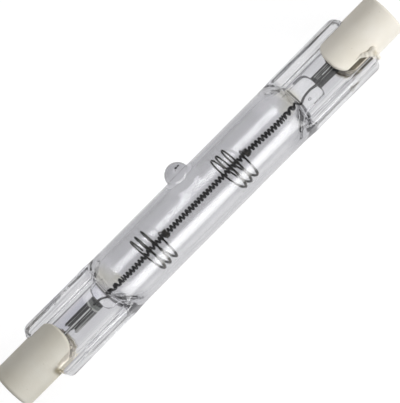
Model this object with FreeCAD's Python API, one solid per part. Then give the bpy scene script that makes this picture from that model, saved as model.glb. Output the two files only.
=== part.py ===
# Double-ended linear halogen lamp: a quartz tube pinched flat at both ends, with a coiled filament
# inside and a slotted ceramic cap cemented on each pinch.
# Millimetres. X runs along the lamp, Y across the flat pinches and Z up from their faces.
# The origin is midway between the caps' outer ends, on the axis. The pieces are made about the middle of
# the quartz tube, which lies a little to one side of it, and are moved there at the end.
import FreeCAD, Part
import math
import os
from collections import namedtuple

from FreeCAD import Rotation, Vector

# Whole lamp, over the two caps: the tube takes up what the ends leave
overall_length = 78.3

# Quartz tube
tube_diameter = 10.0
tube_wall = 1.0
shoulder_radius = 2.8
cavity_shoulder_radius = 3.0
shoulder_wall = 0.4  # quartz past the cavity's end, along the lamp
shoulder_cones = 4  # cones that stand for a rounded shoulder
cavity_cones = 1

# Pinch seals, an I in section: two side ribs with a thin panel between them
pinch_length = 11.8  # past the shoulder
pinch_inset = 0.05  # from the tube's side to the ribs' sides
rib_width_near = 1.3  # on the -Y side
rib_width_far = 2.2
rib_thickness = 4.0
rib_outer_round = 0.8
rib_inner_round = 0.4
panel_thickness = 2.4
panel_fillet = 0.3
pinch_corner_radius = 1.2
pocket_width = 4.9
pocket_thickness = 1.0
pocket_round = 0.4
pocket_left = 1.2  # the flat pocket, from the cavity's end to the foil
pocket_right = 3.3

# Exhaust tip, where the tube was filled and then melted off
tip_x = -0.2
tip_angle = 43.0  # from +Z towards +Y
tip_radius = 1.95
tip_reach = 7.5  # from the tube's axis
tip_skirt = 0.4
tip_cones = 4
tip_channel = 0.5
tip_cover = 1.1  # quartz left over the end of the channel
edge_land = 0.15  # flat left inside a rounded edge

# Filament, one wire with a coil and two legs
filament_wire = 0.3
coil_diameter = 1.05
coil_pitch = 0.63
coil_inset_left = 0.6  # from the cavity's end to the coil
coil_inset_right = 1.0
turn_runs = 6  # straight runs that stand for a turn of the coil
wire_sides = 4
leg_overlap = 0.9
leg_clearance = 0.02
leg_across_left = 0.05
leg_across_right = -0.4
# Bends in the legs: a share of the way from coil to foil, and a place across the lamp
leg_bends_left = ((0.36, -0.42), (0.72, 0.02))
leg_bends_right = ((0.13, -0.9), (0.27, -0.53), (0.44, -0.27), (0.77, -0.14))

# Filament supports, wire spirals that grip the coil and lie on the wall
support_wire = 0.22
support_places = (0.2, 0.63)  # the loops' free end, as a share of the coil's length
loop_slack = 1.15  # how much smaller the loops are than the bore of the tube
loop_span = 3.7
loop_turns = 3.25
loop_runs = 16
loop_crowding = 1.3  # above 1, the turns lie closer at the free end
loop_lean = 0.11  # slope along the lamp, for each millimetre across it
loop_tilt = 0.12  # and for each millimetre up
loop_opening = 0.5  # of a turn, from the grip's size to the loops'
rest_angle = 21.0  # from -Z towards -Y, where the loops lie on the wall
wall_clearance = 0.02
grip_turns = 3
grip_pitch = 0.22
grip_gap = 0.4  # from the loops to the grip
grip_clearance = 0.02

# Seal foils and outer leads
foil_width = 2.3
foil_length = 6.0
foil_thickness = 0.03
foil_across_left = 0.0
foil_across_right = -0.15
lead_diameter = 0.5
lead_setback = 1.4  # from the foil's inner end to the lead's end
weld_depth = 0.02

# Ceramic caps and the cement in their slots
cap_diameter = 7.3
cap_length = 11.5
cap_edge_bevel = 0.35
slot_clearance = 0.15  # over each face of the ribs
slot_floor = 5.6  # from the cap's outer end
tongue_end_radius = 3.2
recess_depth = 1.7  # the contacts are then 74.9 mm apart
recess_margin = 0.25  # round the contact
cement_setback = 0.35  # from the tongues' ends
cement_floor_left = 1.65  # from the pinch's end to the slot's floor
cement_floor_right = 0.25

# Contacts
contact_diameter = 3.0
contact_thickness = 0.8
contact_fit = 0.05
stem_diameter = 1.1
stem_setback = 0.9  # from the slot's floor

# What follows from those sizes
tube_radius = tube_diameter / 2
cavity_radius = tube_radius - tube_wall
cap_radius = cap_diameter / 2
slot_height = rib_thickness + 2 * slot_clearance
cement_floors = cement_floor_left + cement_floor_right
tube_straight = overall_length - cement_floors - 2 * (slot_floor + pinch_length + shoulder_radius)
shoulder_end = tube_straight / 2 + shoulder_radius
cavity_end = shoulder_end - shoulder_wall
pinch_end = shoulder_end + pinch_length
coil_start = coil_inset_left - cavity_end
coil_end = cavity_end - coil_inset_right
foil_top = weld_depth - lead_diameter / 2
leg_height = foil_top + filament_wire / 2
seat_end = recess_depth + contact_thickness
stem_end = slot_floor - stem_setback

End = namedtuple("End", "name sign pocket cement_floor foil_across leg_across leg_bends")
LEFT = End("left", -1, pocket_left, cement_floor_left, foil_across_left, leg_across_left, leg_bends_left)
RIGHT = End(
    "right", 1, pocket_right, cement_floor_right, foil_across_right, leg_across_right, leg_bends_right
)

ORIGIN = Vector(0, 0, 0)
ALONG = Vector(1, 0, 0)
UP = Vector(0, 0, 1)


def rod(diameter, x_ends, y=0.0, z=0.0):
    x_start, x_end = sorted(x_ends)
    return Part.makeCylinder(diameter / 2, x_end - x_start, Vector(x_start, y, z), ALONG)


def block(x_ends, y_half, z_half, y=0.0, z=0.0):
    x_start, x_end = sorted(x_ends)
    return Part.makeBox(x_end - x_start, 2 * y_half, 2 * z_half, Vector(x_start, y - y_half, z - z_half))


def flat(points):
    return Part.Face(Part.makePolygon(points + points[:1]))


def turned(profile):
    """A solid of revolution about X, from its (x, radius) outline."""
    return flat([Vector(x, radius, 0) for x, radius in profile]).revolve(ORIGIN, ALONG, 360)


def rounded_edge(x_face, radius, bend, cones):
    """The outline of a turned edge beside a face that looks along +X, rounded off in a few cones."""
    bend = min(bend, radius - edge_land)
    angles = [math.pi / 2 * step / cones for step in range(cones + 1)]
    return [(x_face + bend * (math.cos(a) - 1), radius + bend * (math.sin(a) - 1)) for a in angles]


def mirrored(shape):
    return shape.mirror(ORIGIN, ALONG)


def edges_at(shape, **place):
    """The edges that lie wholly at the given x, y or z, on either side of the origin."""

    def fits(edge):
        middle = edge.valueAt((edge.FirstParameter + edge.LastParameter) / 2)
        points = [middle] + [v.Point for v in edge.Vertexes]
        offsets = [abs(getattr(p, axis)) - value for p in points for axis, value in place.items()]
        return all(abs(offset) < 1e-6 for offset in offsets)

    return [edge for edge in shape.Edges if fits(edge)]


def wire_along(points, diameter):
    """A wire of straight runs with mitred corners, its section a polygon inside the round wire's."""
    runs = [(b - a).normalize() for a, b in zip(points, points[1:])]
    across = runs[0].cross(UP).normalize()
    angles = [2 * math.pi * (n + 0.5) / wire_sides for n in range(wire_sides)]
    rings = []
    before = runs[0]
    for point, run in zip(points, runs + runs[-1:]):
        mitre = before + run
        beside = before.cross(across)
        ring = []
        for angle in angles:
            arm = (across * math.cos(angle) + beside * math.sin(angle)) * (diameter / 2)
            ring.append(point + arm - before * (mitre.dot(arm) / mitre.dot(before)))
        rings.append(ring)
        across = Rotation(before, run).multVec(across)
        before = run
    faces = [flat(rings[0]), flat(rings[-1])]
    for near, far in zip(rings, rings[1:]):
        for one, other in zip(range(wire_sides), range(-1, wire_sides - 1)):
            faces.append(flat([near[one], near[other], far[other], far[one]]))
    shell = Part.makeShell(faces)
    shell.sewShape()
    wire = Part.makeSolid(shell)
    if wire.Volume < 0:
        wire.reverse()
    return wire


def rounded_bar(radius, half_length, end_radius, cones):
    right = [(half_length, 0.0)] + rounded_edge(half_length, radius, end_radius, cones)
    return turned(right + [(-x, r) for x, r in reversed(right)])


def right_pinch():
    """An I-section bar with its outer corners rounded in plan."""
    side = tube_radius - pinch_inset
    near_inside = side - rib_width_near
    far_inside = side - rib_width_far
    rib_top = rib_thickness / 2
    panel_top = panel_thickness / 2
    step = rib_top - panel_top
    far = [(side, rib_top), (far_inside, rib_top), (far_inside, panel_top)]
    near = [(-near_inside, panel_top), (-near_inside, rib_top), (-side, rib_top)]
    outline = far + near + [(y, -z) for y, z in reversed(far + near)]
    start = tube_straight / 2
    bar = flat([Vector(start, y, z) for y, z in outline]).extrude(ALONG * (pinch_end - start))
    narrower = min(rib_width_near, rib_width_far)
    outer_round = min(rib_outer_round, 0.6 * narrower, 0.9 * rib_top)
    inner_round = min(rib_inner_round, 0.3 * narrower, 0.5 * step)
    bar = bar.makeFillet(outer_round, edges_at(bar, y=side, z=rib_top))
    for inside in {near_inside, far_inside}:
        bar = bar.makeFillet(inner_round, edges_at(bar, y=inside, z=rib_top))
        bar = bar.makeFillet(min(panel_fillet, 0.4 * step), edges_at(bar, y=inside, z=panel_top))
    plan = block((start, pinch_end), side, rib_top)
    return bar.common(plan.makeFillet(pinch_corner_radius, edges_at(plan, x=pinch_end, y=side)))


def at_tip(shape):
    """Turns what runs along +X from the origin to where the exhaust tip stands."""
    placed = shape.copy()
    placed.rotate(ORIGIN, Vector(0, 1, 0), -90)
    placed.rotate(ORIGIN, ALONG, -tip_angle)
    placed.translate(ALONG * tip_x)
    return placed


def envelope_outside():
    """The outer form of the quartz, filled."""
    dome = rounded_edge(tip_reach, tip_radius, tip_radius, tip_cones)
    skirt = [(tube_radius + tip_skirt, tip_radius), (tube_radius - tip_skirt, tip_radius + tip_skirt)]
    foot = [(cavity_radius, tip_radius + tip_skirt), (cavity_radius, 0)]
    tip = turned([(tip_reach, 0)] + dome + skirt + foot)
    tube = rounded_bar(tube_radius, shoulder_end, shoulder_radius, shoulder_cones)
    pinch = right_pinch()
    return tube.fuse([at_tip(tip), pinch, mirrored(pinch)]).removeSplitter()


def gas_space():
    """The hollow of the tube, the flat pockets that run on into the pinches, and the tip's channel."""
    hollow = rounded_bar(cavity_radius, cavity_end, cavity_shoulder_radius, cavity_cones)
    half_width = pocket_width / 2
    half_thickness = pocket_thickness / 2
    pocket = block((foil_inner(LEFT), foil_inner(RIGHT)), half_width, half_thickness)
    round_limit = min(pocket_round, 0.9 * half_thickness)
    pocket = pocket.makeFillet(round_limit, edges_at(pocket, y=half_width, z=half_thickness))
    channel = rod(tip_channel, (0, tip_reach - tip_cover))
    return hollow.fuse([pocket, at_tip(channel)])


def foil_inner(end):
    return end.sign * (cavity_end + end.pocket)


def seal_foil(end):
    """The foil lies just under the axis, so that the lead welded on it runs along the axis."""
    inner = foil_inner(end)
    ends = (inner, inner + end.sign * foil_length)
    return block(ends, foil_width / 2, foil_thickness / 2, end.foil_across, foil_top - foil_thickness / 2)


def outer_lead(end):
    inner = foil_inner(end) + end.sign * lead_setback
    outer = cap_outer(end) - end.sign * stem_end
    return rod(lead_diameter, (inner, outer)).cut(seal_foil(end))


def leg_seat(end):
    """The hole that the leg's end keeps in the quartz, over the foil."""
    inner = foil_inner(end)
    ends = (inner, inner + end.sign * (leg_overlap + leg_clearance))
    return rod(filament_wire + 2 * leg_clearance, ends, end.leg_across, leg_height)


def leg_points(end, coil_tip):
    """From beside the coil's tip to the leg's end over the foil."""
    inner = foil_inner(end)
    points = []
    for share, across in end.leg_bends:
        x = coil_tip.x + share * (inner - coil_tip.x)
        points.append(Vector(x, across, share * leg_height))
    points.append(Vector(inner - end.sign * filament_wire, end.leg_across, leg_height))
    points.append(Vector(inner + end.sign * leg_overlap, end.leg_across, leg_height))
    return points


def filament():
    radius = (coil_diameter - filament_wire) / 2
    length = coil_end - coil_start
    steps = round(length / coil_pitch * turn_runs)
    coil = []
    for step in range(steps + 1):
        turn = math.pi + 2 * math.pi * step / turn_runs
        x = coil_start + length * step / steps
        coil.append(Vector(x, radius * math.cos(turn), radius * math.sin(turn)))
    left = leg_points(LEFT, coil[0])
    return wire_along(left[::-1] + coil + leg_points(RIGHT, coil[-1]), filament_wire)


def filament_support(place):
    """Tight turns round the coil that open into wide loops, which lie on the tube's lower wall."""
    x_free = coil_start + place * (coil_end - coil_start)
    x_loops = x_free + loop_span
    flats = math.cos(math.pi / turn_runs)
    grip = (coil_diameter / 2 + grip_clearance + support_wire / 2) / flats
    loop_outside = cavity_radius - loop_slack / 2
    loop = loop_outside - support_wire / 2
    shift = cavity_radius - wall_clearance - loop_outside
    rest = math.radians(rest_angle)
    middle = Vector(0, -shift * math.sin(rest), -shift * math.cos(rest))
    points = []
    for step in range(grip_turns * turn_runs):
        turn = 2 * math.pi * step / turn_runs
        x = x_loops + grip_gap + grip_pitch * (grip_turns - step / turn_runs)
        points.append(Vector(x, grip * math.cos(turn), grip * math.sin(turn)))
    steps = round(loop_turns * loop_runs)
    for step in range(steps + 1):
        turn = 2 * math.pi * step / loop_runs
        share = min(step / (loop_opening * loop_runs), 1.0)
        opened = share * share * (3 - 2 * share)
        radius = grip + opened * (loop - grip)
        y = radius * math.cos(turn)
        z = radius * math.sin(turn)
        x = x_free + loop_span * (1 - step / steps) ** loop_crowding
        x += grip_gap * (1 - opened) + opened * (loop_tilt * z - loop_lean * y)
        points.append(Vector(x, y, z) + middle * opened)
    return wire_along(points, support_wire)


def cap_outer(end):
    return end.sign * (pinch_end + end.cement_floor + slot_floor)


def at_end(shape, end):
    """Places what is modelled with its outer end at the origin, running along +X into the lamp."""
    placed = mirrored(shape) if end is RIGHT else shape.copy()
    placed.translate(ALONG * cap_outer(end))
    return placed


def tongue_plan(length):
    """The outline of cap and tongues from above, rounded at the tongues' ends."""
    plan = block((0, length), cap_radius, cap_radius)
    return plan.makeFillet(min(tongue_end_radius, 0.95 * cap_radius), edges_at(plan, x=length, y=cap_radius))


def slot():
    return block((slot_floor, cap_length), cap_diameter, slot_height / 2)


def ceramic_cap():
    seat = contact_diameter / 2 + contact_fit
    recess = contact_diameter / 2 + recess_margin
    bore = stem_diameter / 2 + contact_fit
    edge = [(0, cap_radius - cap_edge_bevel), (cap_edge_bevel, cap_radius)]
    inside = [(cap_length, bore), (seat_end, bore), (seat_end, seat), (recess_depth, seat)]
    body = turned(edge + [(cap_length, cap_radius)] + inside + [(recess_depth, recess), (0, recess)])
    return body.common(tongue_plan(cap_length)).cut(slot())


def contact():
    """A disc with a stem, which the lead is welded to."""
    radius = contact_diameter / 2
    stem = stem_diameter / 2
    disc = [(recess_depth, 0), (recess_depth, radius), (seat_end, radius)]
    return turned(disc + [(seat_end, stem), (stem_end, stem), (stem_end, 0)])


def cement(end, quartz, lead):
    """Fills the slot between the tongues, round the end of the pinch."""
    length = cap_length - cement_setback
    core = rod(cap_diameter, (slot_floor, length)).common(slot()).common(tongue_plan(length))
    return at_end(core, end).cut([quartz, lead])


def main():
    quartz = envelope_outside()
    sealed = [gas_space()]
    nodes = {
        "filament": filament(),
        "filament_support_left": filament_support(support_places[0]),
        "filament_support_right": filament_support(support_places[1]),
    }
    for end in (LEFT, RIGHT):
        foil = seal_foil(end)
        lead = outer_lead(end)
        sealed += [foil, lead, leg_seat(end)]
        nodes[f"foil_{end.name}"] = foil
        nodes[f"outer_lead_{end.name}"] = lead
        nodes[f"ceramic_cap_{end.name}"] = at_end(ceramic_cap(), end)
        nodes[f"contact_{end.name}"] = at_end(contact(), end)
        nodes[f"cement_{end.name}"] = cement(end, quartz, lead)
    nodes["quartz_envelope"] = quartz.cut(sealed)
    lamp_middle = (cap_outer(LEFT) + cap_outer(RIGHT)) / 2
    os.makedirs("parts", exist_ok=True)
    for name, shape in nodes.items():
        shape.translate(ALONG * -lamp_middle)
        print(f"{name}: {len(shape.Solids)} solid, {shape.Volume:.2f} cubic mm, valid {shape.isValid()}")
        shape.exportStep(f"parts/{name}.step")


main()
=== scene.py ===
# A double-ended halogen lamp lying on a pale floor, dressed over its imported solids.
import bpy
import bmesh
import math
from mathutils import Matrix, Vector, noise


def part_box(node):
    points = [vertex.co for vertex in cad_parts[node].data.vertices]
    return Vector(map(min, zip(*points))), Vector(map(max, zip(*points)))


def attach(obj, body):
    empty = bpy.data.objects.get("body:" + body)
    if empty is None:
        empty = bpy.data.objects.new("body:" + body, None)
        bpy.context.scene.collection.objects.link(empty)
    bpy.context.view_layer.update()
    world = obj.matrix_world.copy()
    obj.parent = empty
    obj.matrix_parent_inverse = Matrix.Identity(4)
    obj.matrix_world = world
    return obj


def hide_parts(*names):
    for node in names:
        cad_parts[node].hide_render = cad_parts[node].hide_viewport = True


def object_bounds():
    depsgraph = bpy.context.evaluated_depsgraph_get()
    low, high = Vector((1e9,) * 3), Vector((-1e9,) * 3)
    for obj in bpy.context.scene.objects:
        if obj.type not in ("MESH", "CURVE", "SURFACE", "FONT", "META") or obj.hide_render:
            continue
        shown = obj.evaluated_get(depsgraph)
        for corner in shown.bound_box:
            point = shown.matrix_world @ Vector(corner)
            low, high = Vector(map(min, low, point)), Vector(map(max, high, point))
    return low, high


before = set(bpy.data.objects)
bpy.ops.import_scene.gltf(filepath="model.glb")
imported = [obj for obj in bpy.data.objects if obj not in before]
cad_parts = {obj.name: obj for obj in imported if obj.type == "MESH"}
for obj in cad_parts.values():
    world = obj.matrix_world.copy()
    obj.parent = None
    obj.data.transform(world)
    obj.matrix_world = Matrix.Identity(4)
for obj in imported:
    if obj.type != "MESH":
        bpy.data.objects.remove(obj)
cadLow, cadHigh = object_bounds()
scene = bpy.context.scene
scene.view_settings.view_transform = "Standard"
mm = 0.001  # pieces are modelled in millimetres and scaled to metres at the end
fullTurn = 2 * math.pi
quarterTurn = math.pi / 2
white = (1.0, 1.0, 1.0)


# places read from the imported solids, in millimetres
def nodeBox(name):
    low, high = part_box(name)
    return low / mm, high / mm


quartzLow, quartzHigh = nodeBox("quartz_envelope")
tubeMiddle = (quartzLow.x + quartzHigh.x) / 2
pinchEnd = (quartzHigh.x - quartzLow.x) / 2
tubeRadius = -quartzLow.z
floorHeight = cadLow.z
sides = {"left": -1, "right": 1}
print("frame: tube middle", round(tubeMiddle, 2), "pinch end", round(pinchEnd, 2))


def foilInner(name):
    low, high = nodeBox("foil_" + name)
    return high.x if name == "left" else low.x


def smoothStep(share):
    share = min(max(share, 0.0), 1.0)
    return share * share * (3 - 2 * share)


def mix(a, b, share):
    return a + (b - a) * share


def grey(level):
    return (level, level, level)


# camera

camera = {
    "elevation": 73.0,  # degrees over the floor, from the -Y side
    "axisTurn": 45.2,  # degrees, from the picture's right to the lamp's +X
    "distance": 260.0,
    "pixelSize": 0.1475,  # millimetres on the lamp
    "imageSize": (400, 403),
    "lampPixel": (198.5, 200.8),  # where the middle of the lamp shows
    "sensor": 36.0,
}


def addCamera(c):
    tilt = math.radians(c["elevation"])
    turn = math.radians(c["axisTurn"])
    back = Vector((0, -math.cos(tilt), math.sin(tilt)))
    along = Vector((1, 0, 0))
    across = back.cross(along)
    right = along * math.cos(turn) - across * math.sin(turn)
    up = along * math.sin(turn) + across * math.cos(turn)
    wide, high = c["imageSize"]
    shiftRight = (wide / 2 - c["lampPixel"][0]) * c["pixelSize"] * mm
    shiftUp = (c["lampPixel"][1] - high / 2) * c["pixelSize"] * mm
    data = bpy.data.cameras.new("photoCamera")
    data.sensor_width = c["sensor"]
    data.lens = c["sensor"] * c["distance"] / (max(wide, high) * c["pixelSize"])
    data.clip_start = 0.01
    data.clip_end = 20
    body = bpy.data.objects.new("photoCamera", data)
    body.matrix_world = Matrix((right, up, back)).transposed().to_4x4()
    body.location = back * c["distance"] * mm + right * shiftRight + up * shiftUp
    scene.collection.objects.link(body)
    scene.camera = body


addCamera(camera)
print("camera placed")


# node helpers

def addNode(tree, kind, **values):
    node = tree.nodes.new(kind)
    for key, value in values.items():
        setattr(node, key, value)
    return node


# links an output to a socket, or sets the socket where the value is a constant
def join(tree, value, socket):
    if isinstance(value, bpy.types.NodeSocket):
        tree.links.new(value, socket)
    else:
        socket.default_value = value


# the same for several sockets of a node, by their labels or numbers
def setInputs(tree, node, values):
    for label, value in values.items():
        join(tree, value, node.inputs[label])


def calculate(tree, operation, *values):
    node = addNode(tree, "ShaderNodeMath", operation=operation)
    setInputs(tree, node, dict(enumerate(values)))
    return node.outputs["Value"]


def calculateVector(tree, operation, *values):
    node = addNode(tree, "ShaderNodeVectorMath", operation=operation)
    setInputs(tree, node, dict(enumerate(values)))
    return node.outputs["Value" if operation == "LENGTH" else "Vector"]


def combine(tree, operation, first, *others):
    for other in others:
        first = calculate(tree, operation, first, other)
    return first


def mapRange(tree, value, start, stop, low=0.0, high=1.0, way="SMOOTHSTEP"):
    node = addNode(tree, "ShaderNodeMapRange", interpolation_type=way)
    setInputs(tree, node, {
        "Value": value, "From Min": start, "From Max": stop, "To Min": low, "To Max": high})
    return node.outputs["Result"]


# a mask that goes from 0 to top as a value goes from one place in millimetres to another
def rangeMask(tree, value, start, stop, top=1.0):
    return mapRange(tree, value, start * mm, stop * mm, 0.0, top)


# top inside an ellipse round a place, seen from above, and fading from its core to its edge
def plotMask(tree, coords, place, size, top=1.0, core=0.85):
    moved = calculateVector(tree, "SUBTRACT", coords, (place[0] * mm, place[1] * mm, 0))
    scaled = calculateVector(tree, "MULTIPLY", moved, (1 / size[0], 1 / size[1], 0))
    return rangeMask(tree, calculateVector(tree, "LENGTH", scaled), 1.1, core, top)


def mixColours(tree, way, amount, first, second):
    node = addNode(tree, "ShaderNodeMix", data_type="RGBA", blend_type=way)
    setInputs(tree, node, {"Factor": amount, 6: first, 7: second})
    return node.outputs[2]


def colourRamp(tree, mask, stops):
    ramp = addNode(tree, "ShaderNodeValToRGB")
    elements = ramp.color_ramp.elements
    while len(elements) < len(stops):
        elements.new(0.5)
    for element, (place, colour) in zip(elements, stops):
        element.position = place
        element.color = (*colour, 1.0)
    join(tree, mask, ramp.inputs["Fac"])
    return ramp.outputs["Color"]


def addBump(tree, height, strength, distance, before=None):
    bump = addNode(tree, "ShaderNodeBump")
    setInputs(tree, bump, {"Strength": strength, "Distance": distance * mm, "Height": height})
    if before:
        join(tree, before, bump.inputs["Normal"])
    return bump.outputs["Normal"]


def splitAxes(tree, coords):
    node = addNode(tree, "ShaderNodeSeparateXYZ")
    join(tree, coords, node.inputs["Vector"])
    return node.outputs


def plainShader(tree, kind, colour):
    node = addNode(tree, kind)
    join(tree, (*colour, 1.0), node.inputs["Color"])
    return node.outputs["BSDF"]


def chooseShader(tree, fact, otherwise, chosen):
    node = addNode(tree, "ShaderNodeMixShader")
    setInputs(tree, node, {0: fact, 1: otherwise, 2: chosen})
    return node.outputs["Shader"]


def startMaterial(name):
    material = bpy.data.materials.new(name)
    material.use_nodes = True
    tree = material.node_tree
    shader = tree.nodes["Principled BSDF"]
    coords = addNode(tree, "ShaderNodeTexCoord").outputs["Object"]
    return material, tree, shader, coords


# a node group that takes a Vector and the numbers given, and puts out one socket
def startGroup(name, numbers, output, kind):
    group = bpy.data.node_groups.new(name, "ShaderNodeTree")
    group.interface.new_socket("Vector", in_out="INPUT", socket_type="NodeSocketVector")
    for label, value in numbers.items():
        socket = group.interface.new_socket(label, in_out="INPUT", socket_type="NodeSocketFloat")
        socket.default_value = value
    group.interface.new_socket(output, in_out="OUTPUT", socket_type=kind)
    return group, group.nodes.new("NodeGroupInput").outputs, group.nodes.new("NodeGroupOutput").inputs


def useGroup(tree, group, coords, **values):
    node = addNode(tree, "ShaderNodeGroup", node_tree=group)
    setInputs(tree, node, {"Vector": coords, **values})
    return node.outputs[0]


# a soft cloudy mask, for uneven colour and gloss
def makeMottleGroup():
    numbers = {"Scale": 300.0, "Low": 0.0, "High": 1.0}
    group, given, out = startGroup("cloudyMottle", numbers, "Mask", "NodeSocketFloat")
    cloud = addNode(group, "ShaderNodeTexNoise")
    setInputs(group, cloud, {"Vector": given["Vector"], "Scale": given["Scale"], "Detail": 4.0})
    mask = mapRange(group, cloud.outputs["Fac"], 0.32, 0.68, given["Low"], given["High"], "LINEAR")
    join(group, mask, out["Mask"])
    return group


# streaks drawn out along the lamp, for rolled foil, drawn wire and pinched quartz
def makeStreakGroup():
    numbers = {"Along": 60.0, "Across": 3000.0, "Detail": 3.0}
    group, given, out = startGroup("lengthStreaks", numbers, "Mask", "NodeSocketFloat")
    stretch = addNode(group, "ShaderNodeCombineXYZ")
    setInputs(group, stretch, {"X": given["Along"], "Y": given["Across"], "Z": given["Across"]})
    scaled = calculateVector(group, "MULTIPLY", given["Vector"], stretch.outputs["Vector"])
    cloud = addNode(group, "ShaderNodeTexNoise")
    setInputs(group, cloud, {"Vector": scaled, "Scale": 1.0, "Detail": given["Detail"]})
    join(group, cloud.outputs["Fac"], out["Mask"])
    return group


# sparse small dots, for pores and specks
def makeSpeckGroup():
    numbers = {"Scale": 1500.0, "Size": 0.12}
    group, given, out = startGroup("sparseSpecks", numbers, "Mask", "NodeSocketFloat")
    cells = addNode(group, "ShaderNodeTexVoronoi")
    setInputs(group, cells, {"Vector": given["Vector"], "Scale": given["Scale"]})
    join(group, mapRange(group, cells.outputs["Distance"], 0.0, given["Size"], 1.0, 0.0), out["Mask"])
    return group


# unglazed white body with faint clouds and specks, and painted shade that makes it a little greyer towards
# the lamp's left end
def makePressedToneGroup():
    group, given, out = startGroup("pressedTone", {}, "Color", "NodeSocketColor")
    coords = given["Vector"]
    cloud = useGroup(group, mottleGroup, coords, Scale=170.0)
    colour = colourRamp(group, cloud, [
        (0.0, (0.765, 0.72, 0.62)), (0.55, (0.815, 0.775, 0.685)), (1.0, (0.85, 0.82, 0.74))])
    specks = useGroup(group, speckGroup, coords, Scale=700.0, Size=0.1)
    dirtAndShade = colourRamp(group, specks, [(0.0, white), (1.0, (0.72, 0.68, 0.6))])
    # painted shade: greyer towards the lamp's left end, where less light falls
    along = rangeMask(group, splitAxes(group, coords)["X"], cadLow.x / mm, cadHigh.x / mm)
    paintedShading = colourRamp(group, along, [(0.1, (0.78, 0.785, 0.77)), (0.9, white)])
    clean = mixColours(group, "MULTIPLY", 0.6, colour, dirtAndShade)
    join(group, mixColours(group, "MULTIPLY", 1.0, clean, paintedShading), out["Color"])
    return group


# a colour between two, by soft clouds
def cloudColour(tree, coords, scale, dark, pale):
    return colourRamp(tree, useGroup(tree, mottleGroup, coords, Scale=scale), [(0.0, dark), (1.0, pale)])


mottleGroup = makeMottleGroup()
streakGroup = makeStreakGroup()
speckGroup = makeSpeckGroup()
pressedToneGroup = makePressedToneGroup()
print("shared node groups made")


# pieces

def addPiece(name, mesh, material, node):
    mesh.name = name
    mesh.materials.clear()
    mesh.materials.append(material)
    for face in mesh.polygons:
        face.use_smooth = True
    piece = bpy.data.objects.new(name, mesh)
    scene.collection.objects.link(piece)
    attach(piece, "root")
    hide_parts(node)
    return piece


def plainMesh(name, bm):
    mesh = bpy.data.meshes.new(name)
    bm.to_mesh(mesh)
    bm.free()
    return mesh


def toMesh(name, bm):
    bmesh.ops.scale(bm, vec=(mm, mm, mm), verts=bm.verts)
    return plainMesh(name, bm)


# the mesh that a curve, or a mesh with modifiers, comes out as
def evaluatedMesh(name, data, modifiers=()):
    holder = bpy.data.objects.new(name, data)
    scene.collection.objects.link(holder)
    for label, kind, values in modifiers:
        modifier = holder.modifiers.new(label, kind)
        for key, value in values.items():
            setattr(modifier, key, value)
    mesh = bpy.data.meshes.new_from_object(holder.evaluated_get(bpy.context.evaluated_depsgraph_get()))
    bpy.data.objects.remove(holder)
    return mesh


# a tube of rings, whose points are then put in place by their ring and their number in it
def ringTube(around, ringCount, place):
    bm = bmesh.new()
    ring = bmesh.ops.create_circle(bm, cap_ends=False, segments=around, radius=1.0)["verts"]
    bmesh.ops.spin(bm, geom=ring + bm.edges[:], axis=(0, 0, 1), cent=(0, 0, 0), dvec=(0, 0, 1),
                   angle=0.0, steps=ringCount - 1)
    for vert in bm.verts:
        turn = math.atan2(vert.co.y, vert.co.x) / fullTurn
        vert.co = place(round(turn * around) % around, round(vert.co.z))
    rims = [edge for edge in bm.edges if edge.is_boundary]
    bmesh.ops.holes_fill(bm, edges=rims, sides=0)
    bmesh.ops.recalc_face_normals(bm, faces=bm.faces)
    return bm


# quartz

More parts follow.
